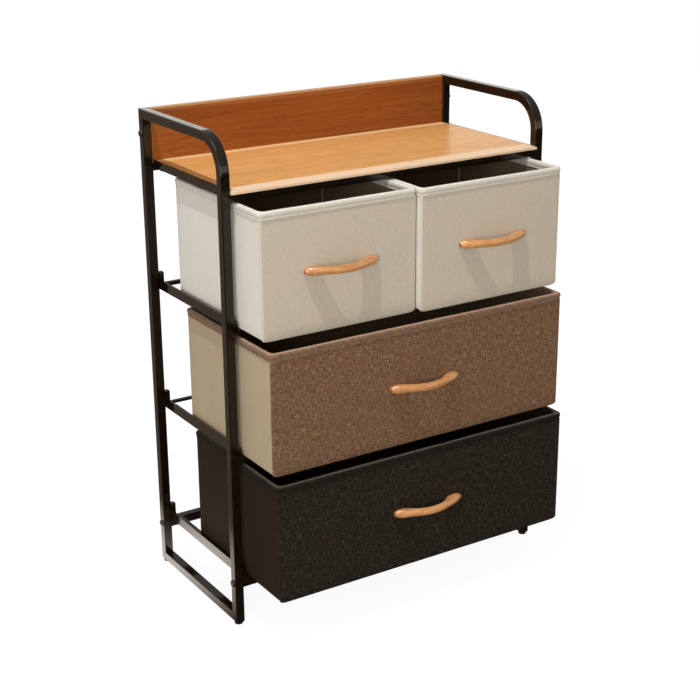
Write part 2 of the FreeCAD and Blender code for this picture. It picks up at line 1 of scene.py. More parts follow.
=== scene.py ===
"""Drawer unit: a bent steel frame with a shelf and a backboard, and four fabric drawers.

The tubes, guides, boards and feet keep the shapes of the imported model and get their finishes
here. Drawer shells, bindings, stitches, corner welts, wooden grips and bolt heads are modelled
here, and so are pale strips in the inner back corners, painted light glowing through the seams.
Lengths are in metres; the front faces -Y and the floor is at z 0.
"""
import math

import bmesh
import bpy
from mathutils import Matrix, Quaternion, Vector, noise


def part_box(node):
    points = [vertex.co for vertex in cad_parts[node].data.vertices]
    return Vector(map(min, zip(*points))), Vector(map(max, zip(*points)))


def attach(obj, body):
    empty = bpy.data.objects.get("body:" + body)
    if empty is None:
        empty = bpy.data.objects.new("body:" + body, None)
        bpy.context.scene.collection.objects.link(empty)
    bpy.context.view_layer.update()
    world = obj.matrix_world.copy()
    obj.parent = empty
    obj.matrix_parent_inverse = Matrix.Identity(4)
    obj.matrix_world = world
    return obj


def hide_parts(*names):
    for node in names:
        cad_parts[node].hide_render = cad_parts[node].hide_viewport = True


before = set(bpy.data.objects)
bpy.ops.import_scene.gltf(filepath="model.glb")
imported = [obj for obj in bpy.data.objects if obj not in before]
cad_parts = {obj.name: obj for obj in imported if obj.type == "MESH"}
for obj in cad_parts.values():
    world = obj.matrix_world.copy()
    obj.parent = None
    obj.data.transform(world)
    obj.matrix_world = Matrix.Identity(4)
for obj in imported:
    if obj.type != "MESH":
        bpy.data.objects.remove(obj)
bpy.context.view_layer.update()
MM = 0.001
TINY = 0.01 * MM

# Each drawer with the cloth it is made of
DRAWERS = {"top_left": "oatmeal", "top_right": "oatmeal", "middle": "brown", "bottom": "charcoal"}


# Working on one piece at a time

def clear_selection():
    """Go back to object mode with nothing selected."""
    if bpy.context.mode != "OBJECT":
        bpy.ops.object.mode_set(mode="OBJECT")
    bpy.ops.object.select_all(action="DESELECT")


def take(piece):
    """Leave a piece as the only one selected and active."""
    clear_selection()
    piece.select_set(True)
    bpy.context.view_layer.objects.active = piece


def call_it(piece, name):
    piece.name = name
    piece.data.name = name
    return piece


def settle(piece, name):
    """Put a piece's place, turn and size into its mesh, and name it."""
    take(piece)
    bpy.ops.object.transform_apply(location=True, rotation=True, scale=True)
    return call_it(piece, name)


def start_box(name, low, high):
    clear_selection()
    low, high = Vector(low), Vector(high)
    bpy.ops.mesh.primitive_cube_add(size=1, location=(low + high) / 2, scale=high - low)
    return settle(bpy.context.object, name)


def start_rod(name, sides, radius, length, middle, turn=(0, 0, 0)):
    clear_selection()
    bpy.ops.mesh.primitive_cylinder_add(vertices=sides, radius=radius, depth=length,
                                        location=middle, rotation=turn)
    return settle(bpy.context.object, name)


def open_up(piece):
    take(piece)
    bpy.ops.object.mode_set(mode="EDIT")


def close_up():
    bpy.ops.object.mode_set(mode="OBJECT")


def pick(kind, wanted):
    """In edit mode, select only the faces, edges or vertices that are wanted."""
    bpy.ops.mesh.select_mode(type=kind)
    bpy.ops.mesh.select_all(action="DESELECT")
    data = bpy.context.object.data
    mesh = bmesh.from_edit_mesh(data)
    for part in {"VERT": mesh.verts, "EDGE": mesh.edges, "FACE": mesh.faces}[kind]:
        if wanted(part):
            part.select_set(True)
    bmesh.update_edit_mesh(data)


def upright(edge):
    """Whether an edge is one of the long upright ones of a box."""
    way = edge.verts[1].co - edge.verts[0].co
    return way.length > 50 * MM and abs(way.z) > 0.99 * way.length


def lies_at(level):
    """Picks the edges that lie at a height, or below it."""
    return lambda edge: max(v.co.z for v in edge.verts) < level + TINY


def slice_at(axis, places):
    """In edit mode, cut the whole mesh across an axis at each place."""
    across = [1 if i == axis else 0 for i in range(3)]
    for place in places:
        bpy.ops.mesh.select_all(action="SELECT")
        bpy.ops.mesh.bisect(plane_co=[place * a for a in across], plane_no=across)


def evenly(start, end, step):
    """Places between two ends, about a step apart, without the ends."""
    count = max(1, round((end - start) / step))
    return [start + (end - start) * i / count for i in range(1, count)]


def finish_with(piece, kind, **settings):
    take(piece)
    modifier = piece.modifiers.new(kind.lower(), kind)
    for name, setting in settings.items():
        setattr(modifier, name, setting)
    bpy.ops.object.modifier_apply(modifier=modifier.name)


def smooth(piece, angle=40):
    take(piece)
    bpy.ops.object.shade_smooth_by_angle(angle=math.radians(angle))


def joined(name, pieces):
    take(pieces[0])
    for piece in pieces:
        piece.select_set(True)
    bpy.ops.object.join()
    return call_it(pieces[0], name)


def swell(share):
    """Rises from 0 at both ends of a run to 1 over its middle."""
    share = min(1, max(0, share))
    return math.sin(math.pi * share) ** 0.6


# Joining nodes

class Bench:
    """Places and joins the nodes of one material or node group."""

    def __init__(self, tree):
        self.tree = tree

    def feed(self, socket, value):
        if isinstance(value, bpy.types.NodeSocket):
            self.tree.links.new(value, socket)
        else:
            socket.default_value = value

    def put(self, kind, settings=None, **sockets):
        node = self.tree.nodes.new("ShaderNode" + kind)
        for name, setting in (settings or {}).items():
            setattr(node, name, setting)
        for name, value in sockets.items():
            self.feed(node.inputs[name.replace("_", " ")], value)
        return node

    def math(self, operation, *values):
        node = self.put("Math", {"operation": operation})
        for socket, value in zip(node.inputs, values):
            self.feed(socket, value)
        return node.outputs[0]

    def noise(self, vector, scale, detail=2.0, roughness=0.5, distortion=0.0):
        node = self.put("TexNoise", Vector=vector, Scale=scale, Detail=detail,
                        Roughness=roughness, Distortion=distortion)
        return node.outputs["Fac"]

    def stretched(self, vector, x, y, z):
        node = self.put("Mapping", Vector=vector, Scale=(x, y, z))
        return node.outputs["Vector"]

    def remap(self, value, low, high, to_low=0.0, to_high=1.0):
        node = self.put("MapRange", Value=value, From_Min=low, From_Max=high,
                        To_Min=to_low, To_Max=to_high)
        return node.outputs["Result"]

    def blend(self, share, first, second, how="MIX"):
        node = self.put("Mix", {"data_type": "RGBA", "blend_type": how})
        self.feed(node.inputs[0], share)
        self.feed(node.inputs[6], first)
        self.feed(node.inputs[7], second)
        return node.outputs[2]

    def group(self, tree, **sockets):
        node = self.tree.nodes.new("ShaderNodeGroup")
        node.node_tree = tree
        for name, value in sockets.items():
            self.feed(node.inputs[name.replace("_", " ")], value)
        return node.outputs


def shade(red, green, blue):
    """A colour given in 0 to 255 as the eye sees it, for a colour socket."""
    def linear(level):
        level /= 255
        return level / 12.92 if level <= 0.04045 else ((level + 0.055) / 1.055) ** 2.4
    return linear(red), linear(green), linear(blue), 1.0


def new_group(name, takes, gives):
    tree = bpy.data.node_groups.new(name, "ShaderNodeTree")
    for label, value in takes.items():
        kind = "NodeSocketVector" if value is None else "NodeSocketFloat"
        socket = tree.interface.new_socket(label, in_out="INPUT", socket_type=kind)
        if value is not None:
            socket.default_value = value
    for label in gives:
        tree.interface.new_socket(label, in_out="OUTPUT", socket_type="NodeSocketFloat")
    given = tree.nodes.new("NodeGroupInput").outputs
    return tree, Bench(tree), given, tree.nodes.new("NodeGroupOutput").inputs


# Effects that several finishes share. Noise scales are per metre.

def build_weave():
    """Plain woven cloth: threads both ways, thick places in them and two cloudy tints."""
    tree, bench, given, gives = new_group(
        "woven_cloth", {"Vector": None, "Pitch": 1.2 * MM, "Slub Length": 10 * MM},
        ("Height", "Threads", "Slubs", "Warm Tint", "Cool Tint"))
    parts = bench.put("SeparateXYZ", Vector=given["Vector"])
    along = bench.math("ADD", parts.outputs["X"], parts.outputs["Y"])
    up = parts.outputs["Z"]
    waver = bench.math("MULTIPLY", bench.noise(given["Vector"], 90.0), 0.6 * MM)
    turns = bench.math("DIVIDE", 2 * math.pi, given["Pitch"])
    warp = bench.math("SINE", bench.math("MULTIPLY", bench.math("ADD", along, waver), turns))
    weft = bench.math("SINE", bench.math("MULTIPLY", bench.math("ADD", up, waver), turns))
    threads = bench.math("MULTIPLY_ADD", bench.math("MULTIPLY", warp, weft), 0.5, 0.5)
    fine = bench.math("DIVIDE", 0.64, given["Pitch"])
    slow = bench.math("DIVIDE", 1.0, given["Slub Length"])
    slubs = []
    for first, second in ((slow, fine), (fine, slow)):
        spot = bench.put("CombineXYZ", X=bench.math("MULTIPLY", along, first),
                         Y=bench.math("MULTIPLY", up, second))
        slubs.append(bench.noise(spot.outputs[0], 1.0, 2.0, 0.7))
    nubs = bench.noise(given["Vector"], bench.math("DIVIDE", 0.9, given["Pitch"]), 1.0)
    both = bench.math("MULTIPLY_ADD", bench.math("ADD", *slubs), 0.44,
                      bench.math("MULTIPLY", nubs, 0.12))
    both = bench.remap(both, 0.37, 0.63)
    warm = bench.remap(bench.noise(given["Vector"], 26.0, 2.0), 0.42, 0.68)
    cool = bench.remap(bench.noise(bench.stretched(given["Vector"], 1.0, 1.0, 1.4), 21.0, 2.0),
                       0.45, 0.7)
    height = bench.math("ADD", bench.math("MULTIPLY", threads, 0.5),
                        bench.math("MULTIPLY", both, 0.6))
    for label, value in (("Height", height), ("Threads", threads), ("Slubs", both),
                         ("Warm Tint", warm), ("Cool Tint", cool)):
        bench.feed(gives[label], value)
    return tree


def build_felt():
    """Thin lining cloth: a fine close weave, small dimples, and painted shade of broad soft
    creases.
    """
    tree, bench, given, gives = new_group(
        "pressed_cloth", {"Vector": None, "Dimple Pitch": 1.4 * MM},
        ("Height", "Fibres", "Crease Shade"))
    per_metre = bench.math("DIVIDE", 1.0, given["Dimple Pitch"])
    dimples = bench.put("TexVoronoi", {"feature": "F1"}, Vector=given["Vector"], Scale=per_metre)
    fibres = bench.noise(given["Vector"], 900.0, 3.0, 0.7)
    crease_shade = bench.noise(bench.stretched(given["Vector"], 9.0, 9.0, 5.0), 1.0, 2.0, 0.5, 0.6)
    height = bench.math("ADD", bench.math("MULTIPLY", dimples.outputs["Distance"], 0.5),
                        bench.math("MULTIPLY", fibres, 0.5))
    for label, value in (("Height", height), ("Fibres", fibres), ("Crease Shade", crease_shade)):
        bench.feed(gives[label], value)
    return tree


def build_grain():
    """Wood figure that runs along x: growth lines, broad bands, fine streaks and pores."""
    tree, bench, given, gives = new_group(
        "wood_grain", {"Vector": None, "Length Scale": 1.0, "Line Count": 20.0},
        ("Lines", "Bands", "Streaks", "Pores", "Height"))
    parts = bench.put("SeparateXYZ", Vector=given["Vector"])
    along = bench.math("MULTIPLY", parts.outputs["X"], given["Length Scale"])

    def figure(x, cross, detail, distortion):
        spot = bench.put("CombineXYZ", X=bench.math("MULTIPLY", along, x),
                         Y=bench.math("MULTIPLY", parts.outputs["Y"], cross),
                         Z=bench.math("MULTIPLY", parts.outputs["Z"], cross))
        return bench.noise(spot.outputs[0], 1.0, detail, 0.5, distortion)

    rise = bench.math("MULTIPLY", figure(1.3, 17.0, 1.0, 0.12), given["Line Count"])
    swing = bench.math("MULTIPLY_ADD", bench.math("FRACT", rise), 2.0, -1.0)
    lines = bench.math("POWER", bench.math("ABSOLUTE", swing), 3.0)
    bands = bench.remap(figure(1.8, 16.0, 2.0, 0.5), 0.34, 0.66)
    streaks = bench.remap(figure(6.0, 360.0, 2.5, 0.3), 0.32, 0.68)
    pores = bench.remap(figure(70.0, 800.0, 1.0, 0.0), 0.56, 0.7)
    height = bench.math("SUBTRACT", bench.math("MULTIPLY", streaks, 0.3), pores)
    for label, value in (("Lines", lines), ("Bands", bands), ("Streaks", streaks),
                         ("Pores", pores), ("Height", height)):
        bench.feed(gives[label], value)
    return tree


def build_film():
    """The unevenness of a painted or plated surface: mottle, smudges and orange peel."""
    tree, bench, given, gives = new_group(
        "surface_film", {"Vector": None, "Peel Pitch": 2.5 * MM}, ("Height", "Mottle", "Smudges"))
    mottle = bench.remap(bench.noise(given["Vector"], 130.0, 4.0, 0.6), 0.35, 0.7)
    broad = bench.stretched(given["Vector"], 14.0, 14.0, 9.0)
    smudges = bench.remap(bench.noise(broad, 1.0, 3.0, 0.55, 0.8), 0.4, 0.7)
    peel = bench.noise(given["Vector"], bench.math("DIVIDE", 1.0, given["Peel Pitch"]), 2.0)
    for label, value in (("Height", peel), ("Mottle", mottle), ("Smudges", smudges)):
        bench.feed(gives[label], value)
    return tree


WEAVE, FELT, GRAIN, FILM = build_weave(), build_felt(), build_grain(), build_film()


# Finishes

def new_finish(name, **shader_values):
    """A material with its shader, a bench for its nodes and the place on the piece."""
    material = bpy.data.materials.new(name)
    material.use_nodes = True
    shader = material.node_tree.nodes["Principled BSDF"]
    for label, value in shader_values.items():
        shader.inputs[label.replace("_", " ")].default_value = value
    bench = Bench(material.node_tree)
    place = bench.put("TexCoord").outputs["Object"]
    return material, shader, bench, place


def raise_from(bench, shader, height, depth, strength=1.0):
    """Bump from a height. Depth is how far a height of 1 stands out."""
    bump = bench.put("Bump", Height=height, Strength=strength, Distance=depth)
    bench.feed(shader.inputs["Normal"], bump.outputs["Normal"])


def linen(name, dark, middle, light, warm, cool, pitch, depth, sheen=0.08, crest=None):
    """Woven cloth. Crest is (height, colour) for a binding whose top gets a paler painted
    highlight.
    """
    material, shader, bench, place = new_finish(name, Sheen_Weight=sheen, Sheen_Roughness=0.6,
                                                Specular_IOR_Level=0.15)
    cloth = bench.group(WEAVE, Vector=place, Pitch=pitch)
    colour = bench.blend(bench.remap(cloth["Slubs"], 0.0, 0.5), dark, middle)
    colour = bench.blend(bench.remap(cloth["Slubs"], 0.5, 1.0), colour, light)
    colour = bench.blend(bench.math("MULTIPLY", cloth["Warm Tint"], 0.22), colour, warm)
    colour = bench.blend(bench.math("MULTIPLY", cloth["Cool Tint"], 0.2), colour, cool)
    # Painted highlight: the top of the binding is made paler where light catches its crest
    if crest:
        height, crest_highlight_colour = crest
        up = bench.put("SeparateXYZ", Vector=place).outputs["Z"]
        paler_tone = bench.remap(up, height - 0.9 * MM, height - 0.2 * MM, 0.0, 0.7)
        colour = bench.blend(paler_tone, colour, crest_highlight_colour)
    weave = bench.remap(cloth["Threads"], 0.0, 1.0, 0.82, 1.0)
    colour = bench.blend(1.0, colour, weave, "MULTIPLY")
    bench.feed(shader.inputs["Base Color"], colour)
    bench.feed(shader.inputs["Roughness"], bench.remap(cloth["Slubs"], 0.0, 1.0, 0.95, 0.8))
    raise_from(bench, shader, cloth["Height"], depth)
    return material


def pressed(name, dark, light, depth=0.12 * MM, sheen=0.05):
    """Cloth or board with a close, felted face."""
    material, shader, bench, place = new_finish(name, Sheen_Weight=sheen, Specular_IOR_Level=0.12)
    cloth = bench.group(FELT, Vector=place)
    colour = bench.blend(bench.remap(cloth["Fibres"], 0.3, 0.7), dark, light)
    # Painted shade: the colour is darkened a little along broad soft creases
    crease_shade = bench.remap(cloth["Crease Shade"], 0.3, 0.7, 0.93, 1.0)
    colour = bench.blend(1.0, colour, crease_shade, "MULTIPLY")
    bench.feed(shader.inputs["Base Color"], colour)
    bench.feed(shader.inputs["Roughness"], bench.remap(cloth["Fibres"], 0.2, 0.8, 0.92, 0.78))
    raise_from(bench, shader, cloth["Height"], depth)
    return material


def wood(name, dark, middle, light, line, length_scale=1.0, line_count=20.0, lining=0.5,
         roughness=0.3, coat=0.3, coat_rough=0.1, highlight_strips=()):
    """Veneer or solid wood. Each highlight strip is (axis, start, end, colour), a paler band
    painted where light catches the wood.
    """
    material, shader, bench, place = new_finish(name, Coat_Weight=coat, Coat_Roughness=coat_rough,
                                                Specular_IOR_Level=0.2)
    grain = bench.group(GRAIN, Vector=place, Length_Scale=length_scale, Line_Count=line_count)
    colour = bench.blend(grain["Bands"], dark, middle)
    colour = bench.blend(bench.math("MULTIPLY", grain["Streaks"], 0.5), colour, light)
    colour = bench.blend(bench.math("MULTIPLY", grain["Lines"], lining), colour, line)
    parts = bench.put("SeparateXYZ", Vector=place)
    # Painted highlights: each strip lays a paler colour where light catches the wood
    for axis, start, end, paint in highlight_strips:
        inside = bench.math("MULTIPLY", bench.math("GREATER_THAN", parts.outputs[axis], start),
                            bench.math("LESS_THAN", parts.outputs[axis], end))
        colour = bench.blend(bench.math("MULTIPLY", inside, 0.85), colour, paint)
    pores = bench.remap(grain["Pores"], 0.0, 1.0, 1.0, 0.8)
    colour = bench.blend(1.0, colour, pores, "MULTIPLY")
    bench.feed(shader.inputs["Base Color"], colour)
    bench.feed(shader.inputs["Roughness"],
               bench.remap(grain["Streaks"], 0.0, 1.0, roughness + 0.08, roughness))
    raise_from(bench, shader, grain["Height"], 0.04 * MM)
    return material


def painted(name, deep, paler_tone, low_rough, high_rough, ior=1.5, metallic=0.0):
    """Painted or plated metal, or moulded plastic."""
    material, shader, bench, place = new_finish(name, IOR=ior, Metallic=metallic)
    film = bench.group(FILM, Vector=place)
    colour = bench.blend(film["Mottle"], deep, paler_tone)
    bench.feed(shader.inputs["Base Color"], colour)
    bench.feed(shader.inputs["Roughness"],
               bench.remap(film["Smudges"], 0.0, 1.0, low_rough, high_rough))
    raise_from(bench, shader, film["Height"], 0.04 * MM, 0.5)
    return material


# Painted highlights: paler bands where light catches the shelf's front edge and the part of it
# next to the backboard, and the backboard's top edge and left end
shelf_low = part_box("shelf_board")[0]
board_low, board_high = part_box("backboard")
SHELF_HIGHLIGHTS = (("Y", shelf_low.y - MM, shelf_low.y + 26 * MM, shade(247, 216, 184)),
                ("Y", board_low.y - 22 * MM, board_low.y + MM, shade(252, 206, 148)),
                ("Y", board_low.y - 10 * MM, board_low.y - 5 * MM, shade(255, 228, 184)))
BOARD_HIGHLIGHTS = (("Z", board_high.z - 3 * MM, board_high.z + MM, shade(190, 138, 84)),
                ("X", board_low.x - MM, board_low.x + 2 * MM, shade(176, 108, 54)))


def rim_top(drawer):
    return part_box(f"{drawer}_drawer_rim")[1].z


FINISHES = {
    "frame_steel": painted("frame_steel", shade(17, 11, 6), shade(29, 19, 11), 0.09, 0.15, 1.46),
    "foot_plastic": painted("foot_plastic", shade(16, 15, 14), shade(26, 25, 24), 0.45, 0.6, 1.4),
    "screw_steel": painted("screw_steel", shade(150, 150, 152), shade(190, 190, 192),
                           0.25, 0.4, metallic=1.0),
    "bolt_steel": painted("bolt_steel", shade(16, 13, 11), shade(28, 24, 21), 0.2, 0.32),
    "shelf_wood": wood("shelf_wood", shade(218, 148, 76), shade(230, 164, 92),
                       shade(250, 204, 142), shade(198, 124, 60), line_count=26.0, lining=0.42,
                       coat=0.1, highlight_strips=SHELF_HIGHLIGHTS),
    "backboard_wood": wood("backboard_wood", shade(134, 67, 20), shade(148, 77, 24),
                           shade(168, 100, 42), shade(108, 52, 16), line_count=40.0,
                           lining=0.34, roughness=0.32, coat=0.15, highlight_strips=BOARD_HIGHLIGHTS),
    "handle_wood": wood("handle_wood", shade(190, 122, 68), shade(208, 144, 88),
                        shade(234, 180, 122), shade(166, 102, 54), length_scale=3.0,
                        line_count=9.0, lining=0.3, coat=1.0, coat_rough=0.16),
    "handle_end": wood("handle_end", shade(158, 92, 48), shade(174, 106, 58),
                       shade(192, 124, 76), shade(140, 78, 40), length_scale=20.0, lining=0.4,
                       roughness=0.4, coat=0.6, coat_rough=0.3),
    "fibreboard": pressed("fibreboard", shade(142, 116, 84), shade(166, 140, 106), sheen=0.0),
    "oatmeal_front": linen("oatmeal_front", shade(202, 189, 168), shade(212, 199, 179),
                           shade(220, 208, 189), shade(216, 196, 177), shade(205, 198, 178),
                           1.0 * MM, 0.15 * MM),
    "oatmeal_side": linen("oatmeal_side", shade(225, 220, 207), shade(232, 227, 215),
                          shade(238, 233, 222), shade(233, 225, 212), shade(225, 224, 213),
                          0.9 * MM, 0.12 * MM),
    # Painted shade: the lining is made much darker than the pale outer cloth to stand for the
    # shade inside the drawer
    "oatmeal_lining": pressed("oatmeal_lining", shade(126, 111, 88), shade(141, 126, 101)),
    "oatmeal_edge": linen("oatmeal_edge", shade(216, 208, 193), shade(224, 217, 203),
                          shade(234, 228, 216), shade(226, 214, 200), shade(218, 214, 200),
                          0.9 * MM, 0.15 * MM, crest=(rim_top("top_left"), shade(240, 236, 228))),
    "brown_front": linen("brown_front", shade(80, 52, 32), shade(122, 89, 62),
                         shade(170, 136, 102), shade(142, 86, 66), shade(108, 92, 58),
                         1.2 * MM, 0.25 * MM),
    "brown_side": pressed("brown_side", shade(176, 156, 127), shade(190, 171, 143)),
    # Darker than the outer cloth: partly the lining's own tone, partly painted shade for the
    # inside of the drawer
    "brown_lining": pressed("brown_lining", shade(120, 102, 78), shade(134, 116, 92)),
    "brown_edge": linen("brown_edge", shade(98, 70, 51), shade(132, 100, 76), shade(170, 140, 112),
                        shade(146, 100, 82), shade(120, 102, 74), 1.0 * MM, 0.25 * MM,
                        crest=(rim_top("middle"), shade(186, 156, 132))),
    "charcoal_front": linen("charcoal_front", shade(14, 11, 8), shade(35, 29, 23),
                            shade(74, 66, 54), shade(44, 30, 30), shade(36, 34, 24),
                            1.2 * MM, 0.25 * MM, sheen=0.0),
    "charcoal_side": pressed("charcoal_side", shade(36, 25, 16), shade(46, 33, 23), sheen=0.0),
    "charcoal_lining": pressed("charcoal_lining", shade(40, 33, 26), shade(48, 40, 32), sheen=0.0),
    "charcoal_edge": linen("charcoal_edge", shade(14, 11, 8), shade(28, 24, 18), shade(52, 46, 37),
                           shade(34, 26, 21), shade(31, 29, 22), 1.0 * MM, 0.25 * MM, sheen=0.0,
                           crest=(rim_top("bottom"), shade(94, 88, 77))),
    "oatmeal_thread": pressed("oatmeal_thread", shade(222, 217, 205), shade(238, 234, 224)),
    "brown_thread": pressed("brown_thread", shade(150, 122, 96), shade(180, 152, 126)),
    "charcoal_thread": pressed("charcoal_thread", shade(46, 42, 36), shade(64, 59, 51), sheen=0.0),
}


def dress(piece, *finishes):
    piece.data.materials.clear()
    for finish in finishes:
        piece.data.materials.append(FINISHES[finish])


# Drawer shells

CORNER = 3.2 * MM            # round of the upright corners, small enough to cover the boards
LOW_EDGE = 2.6 * MM          # round of the edges underneath
FRONT_WALL = 6 * MM
SIDE_WALL = 5 * MM
FLOOR_SKIN = 1 * MM
FRONT_DROP = 3.5 * MM        # how far the front hangs below the floor of the drawer
HEM_DEPTH = 4 * MM           # how deep the hanging hem of the front is
HEM_ROUND = 14 * MM          # round of the hem's two lower corners
HEM_CUTS = (0.36, 0.55, 0.8, 1.0)
CELL = 13 * MM               # size of the mesh's cells
FRONT_CROWN, BACK_CROWN, SIDE_CROWN, FLOOR_SAG = 0.9 * MM, 0.8 * MM, 0.7 * MM, 0.8 * MM
RIPPLE, RIPPLES_PER_METRE = 0.35 * MM, 21
ON_FACE = 0.1 * MM           # a point this near to a face of the box is on it


def make_shell(drawer, cloth):
    """A sewn box with an open top: one skin outside, another inside and the boards between."""
    low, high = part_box(f"{drawer}_drawer_cover")
    under = low.z + FRONT_DROP
    shell = start_box(f"{drawer}_drawer_shell", (low.x, low.y, under), high)
    open_up(shell)
    pick("FACE", lambda face: face.normal.z > 0.9)
    bpy.ops.mesh.delete(type="ONLY_FACE")
    pick("EDGE", upright)
    bpy.ops.mesh.bevel(offset=CORNER, segments=4)
    pick("EDGE", lies_at(under))
    bpy.ops.mesh.bevel(offset=LOW_EDGE, segments=3)
    for cut in HEM_CUTS:
        slice_at(0, [low.x + HEM_ROUND * cut, high.x - HEM_ROUND * cut])
    slice_at(0, evenly(low.x + HEM_ROUND, high.x - HEM_ROUND, CELL))
    slice_at(1, [low.y + HEM_DEPTH] + evenly(low.y + CORNER, high.y - CORNER, CELL))
    slice_at(2, evenly(under + LOW_EDGE, high.z, CELL))
    close_up()
    group = shell.vertex_groups.new(name="thickness")
    for vertex in shell.data.vertices:
        place = vertex.co
        at_wall = place.z > under + ON_FACE
        share = SIDE_WALL / FRONT_WALL if at_wall else FLOOR_SKIN / FRONT_WALL
        if at_wall and place.y < low.y + CORNER / 2:
            share = 1.0
        group.add([vertex.index], share, "REPLACE")
    dress(shell, f"{cloth}_front", f"{cloth}_side", f"{cloth}_lining", f"{cloth}_lining")
    for face in shell.data.polygons:
        face.material_index = 0 if face.center.y < low.y + CORNER else 1
    outside = len(shell.data.vertices)
    finish_with(shell, "SOLIDIFY", thickness=FRONT_WALL, offset=-1, use_even_offset=True,
                vertex_group="thickness", material_offset=2, material_offset_rim=2)
    for vertex in shell.data.vertices:
        if vertex.index < outside:
            slacken(vertex.co, low, high, under)
    shell.vertex_groups.clear()
    smooth(shell)
    return shell


def slacken(place, low, high, under):
    """Let the outer skin of a drawer belly out a little between its seams, as cloth does."""
    across = (place.x - low.x) / (high.x - low.x)
    back = (place.y - low.y) / (high.y - low.y)
    up = (place.z - under) / (high.z - under)
    ripple = noise.noise(place * RIPPLES_PER_METRE) * RIPPLE
    if place.y < low.y + ON_FACE:
        place.y -= swell(across) * swell(up) * (FRONT_CROWN + ripple)
    elif place.y > high.y - ON_FACE:
        place.y += swell(across) * swell(up) * (BACK_CROWN + ripple)
    elif place.x < low.x + ON_FACE:
        place.x -= swell(back) * swell(up) * (SIDE_CROWN + ripple)
    elif place.x > high.x - ON_FACE:
        place.x += swell(back) * swell(up) * (SIDE_CROWN + ripple)
    elif place.z < under + ON_FACE:
        place.z -= swell(across) * swell(back) * (FLOOR_SAG + ripple)
    if place.z < under + LOW_EDGE + ON_FACE and place.y < low.y + HEM_DEPTH - ON_FACE:
        inset = min(1, min(place.x - low.x, high.x - place.x) / HEM_ROUND)
        place.z -= FRONT_DROP * math.sqrt(1 - (1 - max(0, inset)) ** 2)


# Bindings folded over the tops of the walls

BINDING_HEIGHT = 12 * MM
BINDING_RADIUS = 8 * MM
# Across the fold, from the outer hem over the top to the inner hem, in mm: how far it stands out
# from the wall's outer face, and how far below the top of the rim it is
BINDING_FOLD = [(0.0, 12.0), (1.1, 12.0), (1.5, 11.4), (1.4, 9.6), (0.8, 8.9), (0.8, 8.5),
                (1.5, 7.8), (2.1, 6.0), (2.3, 4.0), (2.0, 2.0), (1.2, 0.6), (-0.4, -0.1),
                (-2.6, -0.3), (-4.8, 0.2), (-6.2, 1.6), (-6.7, 4.0), (-6.5, 7.4), (-5.9, 8.6),
                (-6.4, 9.6), (-6.4, 11.6), (-5.6, 12.0), (-4.6, 11.6)]


def make_binding(drawer, cloth):
    """The fold is run round the top of the drawer as one closed tube, a step of it at a time."""
    low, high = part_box(f"{drawer}_drawer_cover")
    top = rim_top(drawer)
    middle = (low + high) / 2
    half = (high - low) / 2
    clear_selection()
    bpy.ops.mesh.primitive_plane_add(size=2, location=(middle.x, middle.y, 0))
    bpy.context.object.scale = (half.x, half.y, 1)
    binding = settle(bpy.context.object, f"{drawer}_drawer_binding")
    open_up(binding)
    bpy.ops.mesh.select_all(action="SELECT")
    bpy.ops.mesh.bevel(offset=BINDING_RADIUS, segments=5, affect="VERTICES")
    slice_at(0, evenly(low.x + BINDING_RADIUS, high.x - BINDING_RADIUS, 2 * CELL))
    slice_at(1, evenly(low.y + BINDING_RADIUS, high.y - BINDING_RADIUS, 2 * CELL))
    bpy.ops.mesh.select_all(action="SELECT")
    bpy.ops.mesh.region_to_loop()
    bpy.ops.mesh.select_all(action="INVERT")
    bpy.ops.mesh.delete(type="EDGE_FACE")
    pick("VERT", lambda vertex: not vertex.link_edges)
    bpy.ops.mesh.delete(type="VERT")
    pick("EDGE", lambda edge: True)
    centre = (middle.x, middle.y, 0)
    out, level = 0.0, 0.0
    for number, (stands, drop) in enumerate(BINDING_FOLD + BINDING_FOLD[:1]):
        stands, height = stands * MM, top - drop * MM
        if number:
            bpy.ops.mesh.extrude_edges_move()
        bpy.ops.transform.translate(value=(0, 0, height - level))
        factors = ((half.x + stands) / (half.x + out), (half.y + stands) / (half.y + out), 1)
        bpy.ops.transform.resize(value=factors, center_override=centre)
        out, level = stands, height
    bpy.ops.mesh.select_all(action="SELECT")
    bpy.ops.mesh.remove_doubles(threshold=2 * TINY)
    bpy.ops.mesh.normals_make_consistent(inside=False)
    close_up()
    for vertex in binding.data.vertices:
        held = min(1, (top - vertex.co.z) / (2 * MM) + 0.4)
        vertex.co.z += noise.noise(vertex.co * 24) * RIPPLE * (1.4 - held)
    dress(binding, f"{cloth}_edge")
    smooth(binding, 60)
    return binding


# Stitches: one is modelled and copied along each run of a seam

STITCH_LENGTH = 2.5 * MM
STITCH_PITCH = 3.6 * MM
STITCH_DROP = 8.7 * MM       # below the top of the rim
STITCH_STAND = 0.95 * MM     # out from the wall, in the groove of the binding
THREAD = 0.32 * MM


def stitch_run(start, end):
    start, end = Vector(start), Vector(end)
    way = (end - start).normalized()
    turn = way.to_track_quat("Z", "X").to_euler()
    stitch = start_rod("stitch", 6, THREAD, STITCH_LENGTH, start + way * STITCH_LENGTH / 2, turn)
    open_up(stitch)
    pick("FACE", lambda face: len(face.verts) == 6)
    bpy.ops.mesh.inset(thickness=THREAD * 0.45, depth=THREAD * 0.5)
    close_up()
    count = max(1, int((end - start).length / STITCH_PITCH))
    finish_with(stitch, "ARRAY", count=count, use_relative_offset=False, use_constant_offset=True,
                constant_offset_displace=way * STITCH_PITCH)
    return stitch


